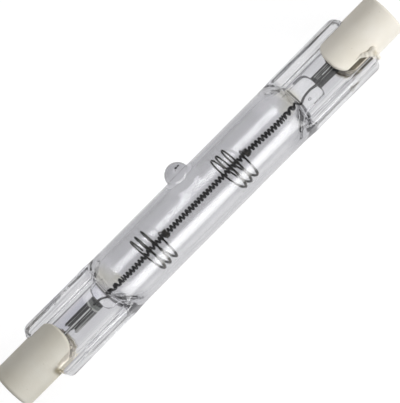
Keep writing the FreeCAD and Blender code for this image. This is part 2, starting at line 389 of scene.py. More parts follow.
quartz = {
    "wall": 1.0,
    "shoulder": 2.8,
    "shoulderRun": 2.9,  # the visible shoulder runs a little into the pinch
    "shoulderBow": {"far": 0.2, "near": 1.3, "fade": 3.5},  # how far its middle reaches past its sides
    "bowRise": 3.0,
    "domePower": 1.9,  # the tube gives way to the pinch slowly at first, then steeply
    "pinchLength": 13.0,
    "pinchInset": 0.05,
    "ribWidth": {"near": 1.3, "far": 2.2},  # on the -Y side and the +Y side
    "ribTop": 2.0,
    "panelTop": 1.2,
    "outerRound": 0.75,
    "innerRound": 0.38,
    "panelFillet": 0.3,
    "cornerRadius": 1.2,
    "cornerSpare": 0.15,  # added to a rib's width where its end is rounded
    "endRound": 0.2,
    "endTaper": 0.06,
    "stations": {"tube": 44, "shoulder": 22, "pinch": 30, "corner": 12, "end": 4},
    "wave": {"along": 0.09, "across": 1.7, "finer": 2.7, "height": 0.06, "run": 1.5},  # in the pinch's faces
    "cavityShoulder": 3.0,
    "cavityBow": {"far": 0.1, "near": 1.0, "fade": 1.5},
    "cavityStations": {"tube": 40, "shoulder": 20, "pocket": 24, "end": 5},
    "shoulderWall": 0.4,
    "pocketHalfWidth": 2.45,
    "pocketHalfThickness": 0.56,
    "pocketRound": 0.4,
    "pocket": {"left": 2.4, "right": 4.5},
    "pocketCorners": {"left": {"far": 1.25, "near": 1.25}, "right": {"far": 1.4, "near": 0.5}},  # in plan
    "pocketEndRound": 0.12,
    "pocketEndTaper": 0.35,
    "rimLength": 2.4,  # of the pocket's dark outline, which is painted shade
    "rimSlope": 0.85,
    "bubbles": (  # drawn out in the left far rib, and one over the pocket: place, radius and stretch
        ((-22.9, 4.45, 0.9), 0.1, 4.0), ((-23.8, 4.4, 1.0), 0.13, 4.5), ((-24.9, 4.2, 1.1), 0.1, 4.0),
        ((-25.7, 4.1, 1.1), 0.12, 3.0), ((-27.2, 4.3, 0.9), 0.08, 5.0), ((22.1, -1.4, 0.85), 0.22, 1.3)),
    "tipShadeSpecks": (  # dark specks painted in the exhaust tip as shade
        ((1.05, 4.3, 5.4), 0.2, 1.2), ((1.5, 4.4, 5.15), 0.14, 1.6), ((0.7, 4.05, 5.4), 0.09, 1.0)),
    "index": 1.46,
    "calmIndex": 1.004,  # where the quartz's own index would mirror too much
    "calmRib": {"start": 26.5, "run": 2.0, "inside": 3.2, "edge": 0.4, "share": 0.4},  # near ribs' ends
    "tint": ((0.0, white), (0.5, (0.49, 0.49, 0.512)), (1.0, (0.01, 0.01, 0.014))),  # by the skin attribute: a grey painted in as shade for the room that clear quartz would show, and near black on the pocket's rim as a painted dark outline
    "deepTint": (0.45, 0.45, 0.46),  # for light that has been mirrored many times inside
    "deepAfter": 2.5,  # mirrorings
    "tubeReflectionBands": (  # painted reflection and shade in bands across the tube's upper half, from the -Y side to the +Y side
        (0.055, 1.0), (0.115, 0.9), (0.18, 0.8), (0.27, 0.8), (0.41, 0.91), (0.6, 0.88)),
    "leftPinchShade": (  # painted shade across the left pinch (0.45, white), (0.6, (0.78, 0.78, 0.84)), (0.76, (0.8, 0.8, 0.86)), (0.82, white)),
        (0.45, white), (0.6, (0.78, 0.78, 0.84)), (0.76, (0.8, 0.8, 0.86)), (0.82, white)),
    "tubeFade": 3.0,  # from the end of the tube's straight part
    "pinchFade": 1.5,
    "pinchLead": 0.5,
    "ribInside": (2.5, 3.0),  # where the ribs begin, across
    "ribStreaks": 0.8,
    "pale": {"pocket": 0.27, "foilEnd": 0.6, "rib": 0.75, "side": 0.5},  # how much painted light brightens these places
    "glowSize": {"pocket": (2.1, 2.5), "foilEnd": (1.5, 1.3)},
    "pocketGlow": (0.6, -0.2),  # share of the right pocket's length, and place across
    "foilEndGlow": (-0.1, 0.9),  # from the left foil's inner end, and place across
    "nearSideReflection": (-2.8, -3.8),  # where painted reflection makes the tube's near side paler
    "shoulderShade": (((20.1, 1.2), (1.8, 2.6)), ((-17.6, 1.6), (1.7, 2.2))),  # warm painted shade in patches over the shoulders
    "shoulderShadeTint": (0.9, 0.88, 0.76),
    "tipRimShade": (  # a dark rim painted on the tip as shade, by how far its surface turns away
        (0.38, (0.87, 0.87, 0.88)), (0.7, (0.5, 0.5, 0.51)), (0.86, (0.12, 0.12, 0.13))),
}
quarterCounts = {
    "side": 8, "outerRound": 10, "top": 5, "innerRound": 6, "riser": 1, "fillet": 6, "panel": 24}
cavityCounts = {"side": 2, "round": 8, "top": 18}
quarterSteps = sum(quarterCounts.values())
cavitySteps = sum(cavityCounts.values())
shoulderEnd = pinchEnd - quartz["pinchLength"]
straightEnd = shoulderEnd - quartz["shoulder"]
cavityEnd = shoulderEnd - quartz["shoulderWall"]
bendStart = cavityEnd - quartz["cavityShoulder"]


# the points of an arc after its first one, by angles in degrees
def arcPoints(centre, radius, start, stop, count):
    angles = [math.radians(mix(start, stop, (n + 1) / count)) for n in range(count)]
    return [(centre[0] + radius * math.cos(a), centre[1] + radius * math.sin(a)) for a in angles]


def linePoints(start, stop, count):
    shares = [(n + 1) / count for n in range(count)]
    return [(mix(start[0], stop[0], share), mix(start[1], stop[1], share)) for share in shares]


# a quarter of the pinch's section, from the middle of its side to the middle of its panel
def pinchQuarter(q, counts, rib):
    side = tubeRadius - q["pinchInset"]
    inside = side - q["ribWidth"][rib]
    top, panel = q["ribTop"], q["panelTop"]
    outer, inner, fillet = q["outerRound"], q["innerRound"], q["panelFillet"]
    points = [(side, 0.0)]
    points += linePoints(points[-1], (side, top - outer), counts["side"])
    points += arcPoints((side - outer, top - outer), outer, 0, 90, counts["outerRound"])
    points += linePoints(points[-1], (inside + inner, top), counts["top"])
    points += arcPoints((inside + inner, top - inner), inner, 90, 180, counts["innerRound"])
    points += linePoints(points[-1], (inside, panel + fillet), counts["riser"])
    points += arcPoints((inside - fillet, panel + fillet), fillet, 0, -90, counts["fillet"])
    points += linePoints(points[-1], (0.0, panel), counts["panel"])
    return points


def cavityQuarter(q, counts):
    wide, thick, bend = q["pocketHalfWidth"], q["pocketHalfThickness"], q["pocketRound"]
    points = [(wide, 0.0)]
    points += linePoints(points[-1], (wide, thick - bend), counts["side"])
    points += arcPoints((wide - bend, thick - bend), bend, 0, 90, counts["round"])
    points += linePoints(points[-1], (0.0, thick), counts["top"])
    return points


# a point of a whole section, from the quarters on its far and near sides
def fromQuarters(far, near, number, steps):
    part, step = divmod(number, steps)
    quarter = far if part in (0, 3) else near
    y, z = quarter[step] if part % 2 == 0 else quarter[steps - step]
    return (y if part in (0, 3) else -y), (z if part < 2 else -z)


def flank(y):
    return "far" if y > 0 else "near"


# stations along the lamp, even ones and ones that crowd as a quarter circle does
def evenSteps(start, length, count):
    return [start + length * n / count for n in range(1, count + 1)]


def roundedSteps(start, length, count):
    return [start + length * math.sin(quarterTurn * n / count) for n in range(1, count + 1)]


# a ring's station, and how far the ring has gone round the end
def ringStation(line, rounds, ring):
    past = max(rounds - ring, ring - rounds - len(line) + 1, 0)
    return line[min(max(ring - rounds, 0), len(line) - 1)], past / rounds


# a ring's point, from a circle that gives way to a section
def ringPoint(q, radius, turn, section, share):
    circle = Vector((radius * math.cos(turn), radius * math.sin(turn)))
    share = min(max(share, 0.0), 1.0)
    return circle.lerp(Vector(section), 1 - (1 - share ** q["domePower"]) ** (1 / q["domePower"]))


# how far a shoulder is drawn back towards the tube, most on its flanks
def drawnBack(q, bow, point, turn, pastStart, pastEnd):
    depth = bow[flank(point.x)] * math.cos(turn) ** 2
    begun = smoothStep((pastStart + q["bowRise"]) / q["bowRise"])
    return depth * (begun * (1 - smoothStep(pastEnd / bow["fade"])))


def endedPoint(x, reach, point, ended, length, taper):
    reach += length * math.sin(quarterTurn * ended)
    point *= 1 - taper * (1 - math.cos(quarterTurn * ended))
    return Vector((tubeMiddle + math.copysign(reach, x), point.x, point.y))


def pressedWave(w, x, y, z):
    spot = Vector((x * w["along"], y * w["across"], z * w["across"]))
    return noise.noise(spot) * w["height"] + noise.noise(spot * w["finer"]) * w["height"] / 2


# narrows a rib's outside where the pinch's corner is rounded
def turnCorner(q, point, past):
    radius = q["cornerRadius"]
    lost = radius - math.sqrt(max(radius ** 2 - past ** 2, 0.0))
    width = q["ribWidth"][flank(point.x)]
    inside = tubeRadius - q["pinchInset"] - width
    if abs(point.x) > inside:
        kept = 1 - lost / (width + q["cornerSpare"])
        point.x = math.copysign(inside + (abs(point.x) - inside) * kept, point.x)


def quartzOutside(q):
    far = pinchQuarter(q, quarterCounts, "far")
    near = pinchQuarter(q, quarterCounts, "near")
    counts = q["stations"]
    corner = pinchEnd - q["cornerRadius"]
    half = evenSteps(0.0, straightEnd, counts["tube"])
    half += roundedSteps(straightEnd, q["shoulder"], counts["shoulder"])
    half += evenSteps(shoulderEnd, corner - shoulderEnd, counts["pinch"])
    half += roundedSteps(corner, q["cornerRadius"], counts["corner"])[:-1]
    line = [-x for x in reversed(half)] + [0.0] + half
    around = 4 * quarterSteps

    def place(number, ring):
        x, ended = ringStation(line, counts["end"], ring)
        reach = abs(x)
        turn = fullTurn * number / around
        section = fromQuarters(far, near, number, quarterSteps)
        point = ringPoint(q, tubeRadius, turn, section, (reach - straightEnd) / q["shoulderRun"])
        if reach > shoulderEnd:
            wave = pressedWave(q["wave"], x, *point) * smoothStep((reach - shoulderEnd) / q["wave"]["run"])
            point += point.normalized() * wave
        if reach > corner:
            turnCorner(q, point, reach - corner)
        reach -= drawnBack(q, q["shoulderBow"], point, turn, reach - straightEnd, reach - shoulderEnd)
        return endedPoint(x, reach, point, ended, q["endRound"], q["endTaper"])

    return ringTube(around, len(line) + 2 * counts["end"], place)


def quartzInside(q):
    quarter = cavityQuarter(q, cavityCounts)
    counts = q["cavityStations"]
    stations = {}
    for name, sign in sides.items():
        half = evenSteps(0.0, bendStart, counts["tube"])
        half += roundedSteps(bendStart, q["cavityShoulder"], counts["shoulder"])
        half += evenSteps(cavityEnd, q["pocket"][name], counts["pocket"])
        stations[name] = [sign * x for x in half]
    line = stations["left"][::-1] + [0.0] + stations["right"]
    around = 4 * cavitySteps
    radius = tubeRadius - q["wall"]

    def place(number, ring):
        x, ended = ringStation(line, counts["end"], ring)
        reach = abs(x)
        turn = fullTurn * number / around
        section = fromQuarters(quarter, quarter, number, cavitySteps)
        point = ringPoint(q, radius, turn, section, (reach - bendStart) / q["cavityShoulder"])
        end = "right" if x > 0 else "left"
        corner = q["pocketCorners"][end][flank(point.x)]
        turned = min(max((reach - cavityEnd - q["pocket"][end]) / corner + 1, 0.0), 1.0)
        point.x -= math.copysign(corner * (1 - math.sqrt(1 - turned ** 2)), point.x) * abs(math.cos(turn))
        reach -= drawnBack(q, q["cavityBow"], point, turn, reach - bendStart, reach - cavityEnd)
        return endedPoint(x, reach, point, ended, q["pocketEndRound"], q["pocketEndTaper"])

    return ringTube(around, len(line) + 2 * counts["end"], place)


tip = {
    "place": -0.2,
    "angle": 43.0,  # degrees from straight up, towards +Y
    "radius": 1.95,
    "reach": 7.5,
    "skirt": 0.5,
    "foot": 3.1,
    "margin": 0.3,  # of finer faces round the foot
    "edge": 1.4,
    "bead": {"start": 0.4, "run": 0.8},  # height over the tube where the tip's own look begins
}


# the tip's outline from its top down to the tube: distance from its own axis and height over the tube
def tipProfile(t, share):
    rise = t["reach"] - tubeRadius
    domeArc = t["radius"] * quarterTurn
    side = rise - t["radius"] - t["skirt"]
    walked = share * (domeArc + side + t["skirt"] * quarterTurn)
    if walked < domeArc:
        angle = walked / t["radius"]
        return t["radius"] * math.sin(angle), rise - t["radius"] * (1 - math.cos(angle))
    walked -= domeArc
    if walked < side:
        return t["radius"], rise - t["radius"] - walked
    angle = (walked - side) / t["skirt"]
    return t["radius"] + t["skirt"] * (1 - math.cos(angle)), t["skirt"] * (1 - math.sin(angle))


def tipAxes(t):
    lean = math.radians(t["angle"])
    return Vector((0, math.sin(lean), math.cos(lean))), Vector((0, math.cos(lean), -math.sin(lean)))


def drawTip(bm, t):
    axis, beside = tipAxes(t)
    middle = tubeMiddle + t["place"]

    def spread(co):
        return co.x - middle, tubeRadius * math.atan2(co.dot(beside), co.dot(axis))

    def nearFoot(vert):
        return math.hypot(*spread(vert.co)) < t["foot"] + t["margin"]

    for _ in range(2):
        edges = [edge for edge in bm.edges if all(nearFoot(vert) for vert in edge.verts)]
        bmesh.ops.subdivide_edges(bm, edges=edges, cuts=1, use_grid_fill=True)
    for vert in bm.verts:
        along, around = spread(vert.co)
        apart = math.hypot(along, around)
        if apart >= t["foot"]:
            continue
        share = apart / t["foot"]
        width, rise = tipProfile(t, share)
        scale = width / apart if apart > 1e-6 else 0.0
        newAlong, newAround = along * scale, around * scale
        bow = math.sqrt(tubeRadius ** 2 - newAround ** 2) - tubeRadius
        height = tubeRadius + rise + bow * share * share
        vert.co = Vector((middle + newAlong, 0, 0)) + axis * height + beside * newAround
    return bm


# 1 in the tip, a half in the tube's side under it and 0 away from them
def tipShare(t, spot):
    axis, beside = tipAxes(t)
    apart = spot - Vector((tubeMiddle + t["place"], 0, 0))
    reach = math.hypot(apart.x, min(apart.dot(beside), 0.0))
    share = smoothStep((t["radius"] - reach) / t["edge"] + 1) * smoothStep(apart.dot(axis))
    height = math.hypot(apart.y, apart.z) - tubeRadius
    return share * mix(0.5, 1.0, smoothStep((height - t["bead"]["start"]) / t["bead"]["run"]))


def calmShare(q, spot):
    rib = q["calmRib"]
    along = smoothStep((abs(spot.x - tubeMiddle) - rib["start"]) / rib["run"])
    across = smoothStep((-spot.y - rib["inside"]) / rib["edge"])
    return max(tipShare(tip, spot), rib["share"] * along * across)


# the grey painted into clear quartz as shade, with painted reflection and shade that differ across the tube
# and the left pinch
def quartzGrey(tree, q, axes, onTube):
    skin = addNode(tree, "ShaderNodeAttribute", attribute_name="skin").outputs["Fac"]
    colour = colourRamp(tree, skin, q["tint"])
    # painted reflection and shade in bands across the tube's upper half
    level = rangeMask(tree, axes["Y"], -tubeRadius, tubeRadius)
    reflectionTone = colourRamp(tree, level, [(place, grey(share)) for place, share in q["tubeReflectionBands"]])
    upper = rangeMask(tree, axes["Z"], -1.0, 1.0)
    colour = mixColours(tree, "MULTIPLY", calculate(tree, "MULTIPLY", onTube, upper), colour, reflectionTone)
    # painted shade on the left pinch's panel
    pinchStart = tubeMiddle - shoulderEnd
    leftPinch = rangeMask(tree, axes["X"], pinchStart, pinchStart - q["pinchFade"])
    return mixColours(tree, "MULTIPLY", leftPinch, colour, colourRamp(tree, level, q["leftPinchShade"]))


# painted light: a glow on the right pocket and by the left foil's end, a painted highlight on the ribs and a
# painted reflection on the tube's near side
def paintedLightMask(tree, q, coords, axes, onTube, onRib):
    pale, size = q["pale"], q["glowSize"]
    share, across = q["pocketGlow"]
    pocket = (tubeMiddle + cavityEnd + share * q["pocket"]["right"], across)
    past, across = q["foilEndGlow"]
    foilEnd = (foilInner("left") + past, across)
    side = rangeMask(tree, axes["Y"], *q["nearSideReflection"], pale["side"])
    return combine(
        tree, "MAXIMUM",
        calculate(tree, "MULTIPLY", onRib, pale["rib"]),
        calculate(tree, "MULTIPLY", onTube, side),
        plotMask(tree, coords, pocket, size["pocket"], pale["pocket"]),
        plotMask(tree, coords, foilEnd, size["foilEnd"], pale["foilEnd"]))


# the skin attribute is 0 on the gas side, a half outside and 1 on the pocket's rim, where a dark
# outline is painted as shade; the calm one is over a half in the tip
def makeQuartzMaterial(q):
    material, tree, shader, coords = startMaterial("clearQuartz")
    axes = splitAxes(tree, coords)
    along = calculate(tree, "ABSOLUTE", axes["X"])
    across = calculate(tree, "ABSOLUTE", axes["Y"])
    onTube = rangeMask(tree, along, straightEnd, straightEnd - q["tubeFade"])
    pressed = rangeMask(tree, along, shoulderEnd - q["pinchLead"], shoulderEnd + q["pinchFade"])
    onRib = calculate(tree, "MULTIPLY", pressed, rangeMask(tree, across, *q["ribInside"]))
    colour = quartzGrey(tree, q, axes, onTube)
    pale = paintedLightMask(tree, q, coords, axes, onTube, onRib)
    colour = mixColours(tree, "SCREEN", pale, colour, (0.5, 0.5, 0.5, 1.0))
    # painted shade in dark lines along the ribs
    lines = useGroup(tree, streakGroup, coords, Along=25.0, Across=3600.0, Detail=2.0)
    ribStreakShade = colourRamp(tree, lines, [(0.36, (0.52, 0.52, 0.54)), (0.46, white)])
    colour = mixColours(tree, "MULTIPLY", onRib, colour, ribStreakShade)
    # warm painted shade in patches over the shoulders
    patches = [plotMask(tree, coords, place, size, 0.8, 0.0) for place, size in q["shoulderShade"]]
    warmShade = calculate(tree, "MAXIMUM", *patches)
    colour = mixColours(tree, "MULTIPLY", warmShade, colour, (*q["shoulderShadeTint"], 1.0))
    calm = addNode(tree, "ShaderNodeAttribute", attribute_name="calm").outputs["Fac"]
    # a dark rim painted on the tip as shade
    bead = mapRange(tree, calm, 0.5, 1.0)
    facing = addNode(tree, "ShaderNodeLayerWeight").outputs["Facing"]
    colour = mixColours(tree, "MULTIPLY", bead, colour, colourRamp(tree, facing, q["tipRimShade"]))
    index = mapRange(tree, calm, 0.0, 0.5, q["index"], q["calmIndex"], "LINEAR")
    ripple = useGroup(tree, streakGroup, coords, Along=40.0, Across=420.0, Detail=2.0)
    drawn = useGroup(tree, streakGroup, coords, Along=45.0, Across=1900.0, Detail=3.0)
    inRib = calculate(tree, "MULTIPLY", onRib, q["ribStreaks"])
    wavy = addBump(tree, ripple, 0.25, 0.25)
    setInputs(tree, shader, {
        "Base Color": colour, "Roughness": 0.0, "IOR": index, "Coat Weight": bead,
        "Transmission Weight": 1.0, "Normal": addBump(tree, drawn, inRib, 0.2, wavy)})
    path = addNode(tree, "ShaderNodeLightPath").outputs
    deep = calculate(tree, "GREATER_THAN", path["Glossy Depth"], q["deepAfter"])
    surface = shader.outputs["BSDF"]
    for fact, tint in ((deep, q["deepTint"]), (path["Is Shadow Ray"], white)):
        surface = chooseShader(tree, fact, surface, plainShader(tree, "ShaderNodeBsdfTransparent", tint))
    join(tree, surface, tree.nodes["Material Output"].inputs["Surface"])
    return material


# writes the attributes that the material reads
def markSkin(q, bm, shade):
    skin = bm.verts.layers.float.new("skin")
    calm = bm.verts.layers.float.new("calm")
    bm.normal_update()
    for vert in bm.verts:
        vert[skin] = shade(vert)
        vert[calm] = calmShare(q, vert.co)
    return skin


def makeQuartz(q):
    outside = drawTip(quartzOutside(q), tip)
    inside = quartzInside(q)
    rimStart = foilInner("right") - q["rimLength"]

    # the pocket's rim, where a dark outline is painted as shade
    def rimShade(vert):
        return 1.0 if vert.co.x > rimStart and abs(vert.normal.z) < q["rimSlope"] else 0.0

    skin = markSkin(q, inside, rimShade)
    # the bubbles stay clear; the dark specks in the tip are painted shade
    for spots, dark in ((q["bubbles"], 0.0), (q["tipShadeSpecks"], 1.0)):
        for place, size, stretch in spots:
            shape = Matrix.Translation(place) @ Matrix.Diagonal((stretch, 1, 1, 1))
            made = bmesh.ops.create_icosphere(inside, subdivisions=3, radius=size, matrix=shape)
            for vert in made["verts"]:
                vert[skin] = dark
    bmesh.ops.reverse_faces(inside, faces=inside.faces)
    hollow = toMesh("hollow", inside)
    markSkin(q, outside, lambda vert: 0.5)
    bmesh.ops.scale(outside, vec=(mm, mm, mm), verts=outside.verts)
    outside.from_mesh(hollow)
    bpy.data.meshes.remove(hollow)
    mesh = plainMesh("quartz_envelope_skin", outside)
    return addPiece("quartz_envelope_skin", mesh, makeQuartzMaterial(q), "quartz_envelope")


quartzPiece = makeQuartz(quartz)
print("quartz modelled:", len(quartzPiece.data.polygons), "faces")


# wires

def wireMesh(name, points, diameter, swell):
    curve = bpy.data.curves.new(name, "CURVE")
    curve.dimensions = "3D"
    curve.bevel_depth = diameter / 2 * mm
    curve.bevel_resolution = 2
    curve.resolution_u = 2
    curve.use_fill_caps = True
    spline = curve.splines.new("NURBS")
    spline.points.add(len(points) - 1)
    for spot, point, wider in zip(spline.points, points, swell):
        spot.co = (*(point * mm), 1.0)
        spot.radius = wider
    spline.order_u = 4
    spline.use_endpoint_u = True
    mesh = evaluatedMesh(name, curve)
    bpy.data.curves.remove(curve)
    bm = bmesh.new()
    bm.from_mesh(mesh)
    bmesh.ops.remove_doubles(bm, verts=bm.verts, dist=1e-7)
    bmesh.ops.recalc_face_normals(bm, faces=bm.faces)
    bm.to_mesh(mesh)
    bm.free()
    return mesh


# a spline cuts inside the corners of a coil's points, so their circle is made wider
def widened(radius, runs):
    return radius * 3 / (2 + math.cos(fullTurn / runs))


filament = {
    "wire": 0.34,
    "coil": 1.05,
    "pitch": 0.63,
    "coilInset": {"left": -0.6, "right": -0.2},
    "runs": 14,
    "legHeight": nodeBox("foil_left")[1].z + 0.15,
    "legAcross": {"left": 0.05, "right": -0.4},
    "legBends": {  # share of the way to the foil, and place across
        "left": ((0.36, -0.42), (0.72, 0.02)),
        "right": ((0.13, -0.9), (0.27, -0.53), (0.44, -0.27), (0.77, -0.14)),
    },
    "legOverlap": 0.9,
    "legSwell": 1.15,  # the legs look thicker than the coil's wire
    "wander": {"size": 0.05, "waves": 31},
    "sag": {"depth": 0.3, "middle": 0.515, "start": 0.235, "run": 0.14},  # past the supports, towards -Y
}
coilStart = tubeMiddle - cavityEnd + filament["coilInset"]["left"]
coilStop = tubeMiddle + cavityEnd - filament["coilInset"]["right"]


def legPoints(f, name, coilTip):
    sign = sides[name]
    inner = foilInner(name)
    points = []
    for share, across in f["legBends"][name]:
        points.append(Vector((mix(coilTip.x, inner, share), across, share * f["legHeight"])))
    for reach in (-f["wire"], 0.5 * f["legOverlap"], f["legOverlap"]):
        points.append(Vector((inner + sign * reach, f["legAcross"][name], f["legHeight"])))
    return points


def makeTungstenMaterial():
    material, tree, shader, coords = startMaterial("drawnTungsten")
    setInputs(tree, shader, {
        "Base Color": cloudColour(tree, coords, 900.0, grey(0.002), (0.01, 0.009, 0.008)),
        "Roughness": useGroup(tree, mottleGroup, coords, Scale=2500.0, Low=0.35, High=0.6),
        "Specular IOR Level": 0.3})
    return material


def makeFilament(f, material):
    turns = (coilStop - coilStart) / f["pitch"]
    steps = round(turns * f["runs"])
    radius = widened((f["coil"] - f["wire"]) / 2, f["runs"])
    wander, sag = f["wander"], f["sag"]
    coil = []
    for step in range(steps + 1):
        share = step / steps
        turn = math.pi + fullTurn * step / f["runs"]
        x = mix(coilStart, coilStop, share)
        x += wander["size"] * math.sin(wander["waves"] * share) * math.sin(math.pi * share)
        low = sag["depth"] * smoothStep((abs(share - sag["middle"]) - sag["start"]) / sag["run"])
        coil.append(Vector((x, radius * math.cos(turn) - low, radius * math.sin(turn))))
    left = legPoints(f, "left", coil[0])
    right = legPoints(f, "right", coil[-1])
    swell = [f["legSwell"]] * len(left) + [1.0] * len(coil) + [f["legSwell"]] * len(right)
    mesh = wireMesh("filament_wire", left[::-1] + coil + right, f["wire"], swell)
    return addPiece("filament_wire", mesh, material, "filament")


filamentPiece = makeFilament(filament, makeTungstenMaterial())
print("filament wound:", len(filamentPiece.data.polygons), "faces")


support = {
    "wire": 0.28,
    "places": {"left": 0.2, "right": 0.63},  # of the free ends, along the coil
    "slack": 1.15,
    "nearSwell": 0.5,  # how much thicker the loops look on their near side
    "span": 3.7,
    "turns": 3.25,
    "runs": 20,
    "crowding": 1.3,
    "lean": 0.11,
    "tilt": 0.12,
    "opening": 0.5,
    "restAngle": 21.0,
    "wallGap": 0.02,
    "gripTurns": 3,
    "gripPitch": 0.22,
    "gripGap": 0.4,
    "gripClearance": 0.02,
    "gripSwell": 0.65,  # the turns round the coil look thinner than the loops
}


def makeSupportMaterial():
    material, tree, shader, coords = startMaterial("supportWire")
    setInputs(tree, shader, {
        "Base Color": cloudColour(tree, coords, 420.0, grey(0.003), (0.03, 0.026, 0.018)),
        "Metallic": 0.2, "Roughness": 0.5, "Specular IOR Level": 0.2})
    return material


def makeSupport(s, name, material):
    free = mix(coilStart, coilStop, s["places"][name])
    grip = filament["coil"] / 2 + s["gripClearance"] + s["gripSwell"] * s["wire"] / 2
    loopOutside = tubeRadius - quartz["wall"] - s["slack"] / 2
    loop = loopOutside - s["wire"] / 2
    shift = tubeRadius - quartz["wall"] - s["wallGap"] - loopOutside
    rest = math.radians(s["restAngle"])
    middle = Vector((0, -shift * math.sin(rest), -shift * math.cos(rest)))
    points = []
    swell = [s["gripSwell"]] * s["gripTurns"] * s["runs"]
    for step in range(s["gripTurns"] * s["runs"]):
        turn = fullTurn * step / s["runs"]
        x = free + s["span"] + s["gripGap"] + s["gripPitch"] * (s["gripTurns"] - step / s["runs"])
        points.append(Vector((x, grip * math.cos(turn), grip * math.sin(turn))))
    steps = round(s["turns"] * s["runs"])
    for step in range(steps + 1):
        turn = fullTurn * step / s["runs"]
        opened = smoothStep(step / (s["opening"] * s["runs"]))
        thicker = s["nearSwell"] * opened * smoothStep(-math.cos(turn))
        swell.append(mix(s["gripSwell"], 1.0, opened) + thicker)
        radius = mix(grip, loop, opened) - thicker * s["wire"] / 2
        y = radius * math.cos(turn)
        z = radius * math.sin(turn)
        x = free + s["span"] * (1 - step / steps) ** s["crowding"]
        x += s["gripGap"] * (1 - opened) + opened * (s["tilt"] * z - s["lean"] * y)
        points.append(Vector((x, y, z)) + middle * opened)
    piece = "filament_support_" + name
    return addPiece(piece + "_wire", wireMesh(piece, points, s["wire"], swell), material, piece)


supportMetal = makeSupportMaterial()
for sideName in sides:
    makeSupport(support, sideName, supportMetal)
print("filament supports wound")


# foils and leads

foil = {
    "ridges": 5,
    "ridgeHeight": 0.012,
    "ragged": 0.7,
    "raggedShare": 0.25,  # of its length, at the outer end
    "columns": 48,
    "rows": 40,
    "thickness": 0.03,
    "block": {"left": (0.13, 0.14, 0.13), "right": (0.02, 0.02, 0.02)},  # the welded inner end
    "arc": {"left": (0.42, 0.43, 0.40), "right": (0.05, 0.05, 0.05)},  # and the pale line round it
    "arcBend": 0.25,
    "weldRun": {"left": 3.0, "right": 1.2},
    "line": (0.5, 0.51, 0.48),
    "lines": {  # rolled in along it: place across and width
        "left": ((-0.38, 0.08), (-0.72, 0.06), (0.72, 0.06)),
        "right": ((0.66, 0.09), (0.42, 0.07), (0.14, 0.1), (-0.4, 0.05)),
    },
}


def lineMask(tree, across, place, width):
    apart = calculate(tree, "ABSOLUTE", calculate(tree, "SUBTRACT", across, place * mm))
    return rangeMask(tree, apart, width, 0.3 * width)


# dark rolled metal with light streaks, and a welded patch at its inner end
def makeFoilMaterial(f, name):
    material, tree, shader, coords = startMaterial("rolledMolybdenum_" + name)
    streak = useGroup(tree, streakGroup, coords, Along=30.0, Across=2700.0, Detail=1.5)
    rolled = colourRamp(tree, streak, [
        (0.42, (0.003, 0.003, 0.004)), (0.53, (0.035, 0.036, 0.035)), (0.59, (0.14, 0.14, 0.137)),
        (0.64, (0.45, 0.45, 0.43))])
    axes = splitAxes(tree, coords)
    lines = combine(
        tree, "MAXIMUM", *[lineMask(tree, axes["Y"], place, width) for place, width in f["lines"][name]])
    broken = useGroup(tree, mottleGroup, coords, Scale=500.0, Low=0.35)
    lined = mixColours(tree, "MIX", calculate(tree, "MULTIPLY", lines, broken), rolled, (*f["line"], 1.0))
    squared = calculate(tree, "MULTIPLY", axes["Y"], axes["Y"])
    bent = calculate(tree, "MULTIPLY_ADD", squared, sides[name] * f["arcBend"] / mm, axes["X"])
    inner = foilInner(name)
    depth = rangeMask(tree, bent, inner, inner + sides[name] * f["weldRun"][name])
    block, arc = f["block"][name], f["arc"][name]
    welded = colourRamp(tree, depth, [
        (0.0, grey(0.002)), (0.1, grey(0.004)), (0.17, block), (0.37, block), (0.43, arc), (0.53, arc)])
    past = colourRamp(tree, depth, [(0.53, grey(0.0)), (0.58, white)])
    setInputs(tree, shader, {
        "Base Color": mixColours(tree, "MIX", past, welded, lined), "Roughness": 0.45,
        "Specular IOR Level": 0.4, "Normal": addBump(tree, streak, 0.3, 0.05)})
    return material


def makeFoil(f, name, material):
    low, high = nodeBox("foil_" + name)
    bm = bmesh.new()
    bmesh.ops.create_grid(bm, x_segments=f["columns"], y_segments=f["rows"], size=0.5)
    outerEnd = 0.5 * sides[name]
    for vert in bm.verts:
        u, v = vert.co.x, vert.co.y
        x = mix(low.x, high.x, u + 0.5)
        y = mix(low.y, high.y, v + 0.5)
        nearOuter = smoothStep(1 - abs(u - outerEnd) / f["raggedShare"])
        torn = 0.5 + noise.noise(Vector((y * 3.1, 4.7, 0)))
        x -= sides[name] * f["ragged"] * nearOuter * torn
        edge = math.cos(math.pi * v)
        z = high.z + f["ridgeHeight"] * edge * (math.sin(fullTurn * f["ridges"] * v) - 1)
        vert.co = (x, y, z)
    bmesh.ops.recalc_face_normals(bm, faces=bm.faces)
    bmesh.ops.solidify(bm, geom=bm.verts[:] + bm.edges[:] + bm.faces[:], thickness=f["thickness"])
    return addPiece(f"foil_{name}_sheet", toMesh("foil", bm), material, "foil_" + name)


for sideName in sides:
    makeFoil(foil, sideName, makeFoilMaterial(foil, sideName))
print("foils laid")


# highlightFrom and highlightTo are the heights of a painted highlight along the lead's top
lead = {"rings": 60, "sides": 20, "endRound": 0.08, "highlightFrom": 0.2, "highlightTo": 0.246}


def makeLeadMaterial(d):
    material, tree, shader, coords = startMaterial("leadWire")
    # a bright painted highlight along the top of the wire; the rest of it stays dark
    highlightBand = rangeMask(tree, splitAxes(tree, coords)["Z"], d["highlightFrom"], d["highlightTo"])
    paintedShading = colourRamp(tree, highlightBand, [(0.0, (0.012, 0.012, 0.011)), (1.0, (0.7, 0.7, 0.68))])
    streak = useGroup(tree, streakGroup, coords, Along=150.0, Across=4000.0, Detail=3.0)
    drawn = colourRamp(tree, streak, [(0.3, grey(0.6)), (0.6, white)])
    setInputs(tree, shader, {
        "Base Color": mixColours(tree, "MULTIPLY", 1.0, paintedShading, drawn), "Roughness": 0.4,
        "Specular IOR Level": 0.2})
    return material


